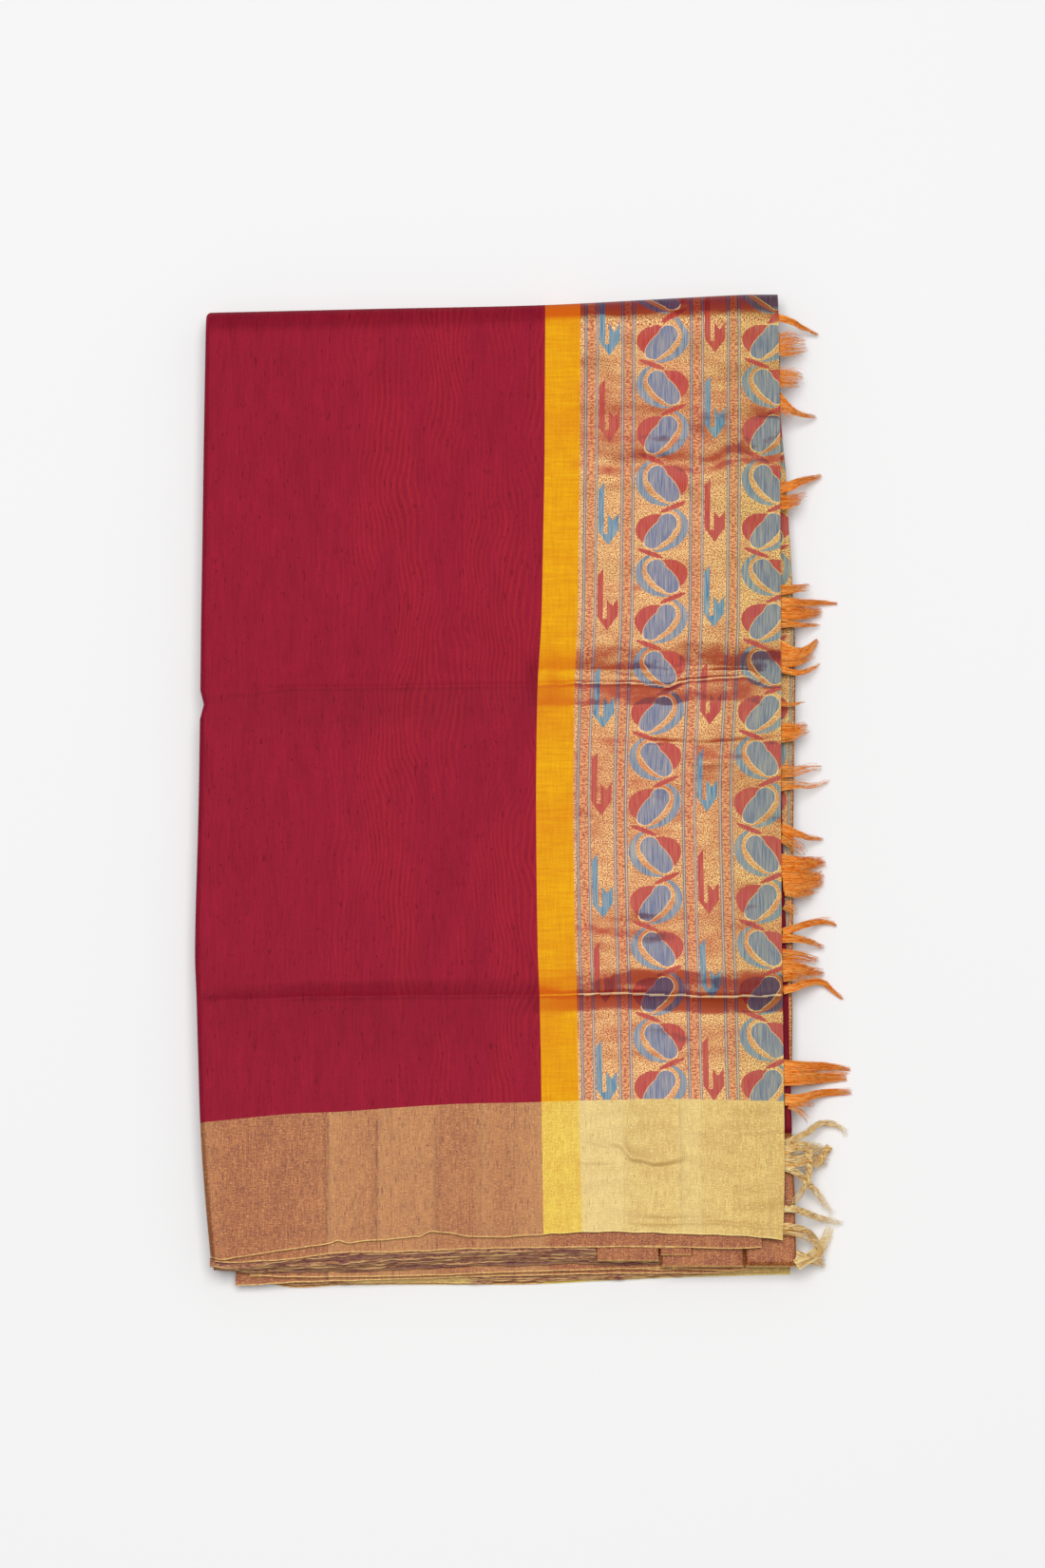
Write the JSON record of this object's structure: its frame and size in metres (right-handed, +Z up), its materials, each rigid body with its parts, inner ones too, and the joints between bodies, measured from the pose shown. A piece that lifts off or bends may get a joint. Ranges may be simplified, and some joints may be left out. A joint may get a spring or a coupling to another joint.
{
  "type": "folded sari",
  "caption": "Long silk sari folded into a flat packet, with a plain body, a stripe, a brocade end piece, metal thread borders and a loose fringe.",
  "frame": {"origin": "on the flat underside, under the middle of the packet", "axes": "+X to the end piece and its fringe, +Y to the far fold, +Z up out of the top leaf"},
  "size_m": [0.3955, 0.6047, 0.024],
  "materials": {
    "maroon_silk": "satin silk with a fine vertical slub",
    "yellow_silk": "satin silk, plain weave",
    "brocade": "silk and metal thread brocade",
    "copper_zari": "copper coloured metal thread weave",
    "gold_zari": "pale gold metal thread weave",
    "layered_edges": "edges of many cloth leaves, copper and dark red",
    "orange_fringe": "loose silk warp threads",
    "gold_fringe": "loose metal and silk warp threads"
  },
  "bodies": {
    "root": {"body_top": "maroon_silk", "flap_body": "maroon_silk", "body_under": "maroon_silk", "stripe_top": "yellow_silk", "border_stripe_top": "yellow_silk", "stripe_under": "yellow_silk", "border_stripe_under": "yellow_silk", "pallu_top": "brocade", "inner_pallu": "brocade", "pallu_under": "brocade", "border_body_top": "copper_zari", "second_leaf_border": "copper_zari", "seventh_leaf_border": "copper_zari", "eighth_leaf_border": "copper_zari", "right_leaf_upper": "copper_zari", "right_leaf_small": "copper_zari", "right_leaf_lower": "copper_zari", "flap_border": "copper_zari", "border_body_under": "copper_zari", "border_pallu_top": "gold_zari", "border_pallu_under": "gold_zari", "folded_core": "layered_edges", "fringe_orange": "orange_fringe", "fringe_gold": "gold_fringe"}
  },
  "joints": []
}
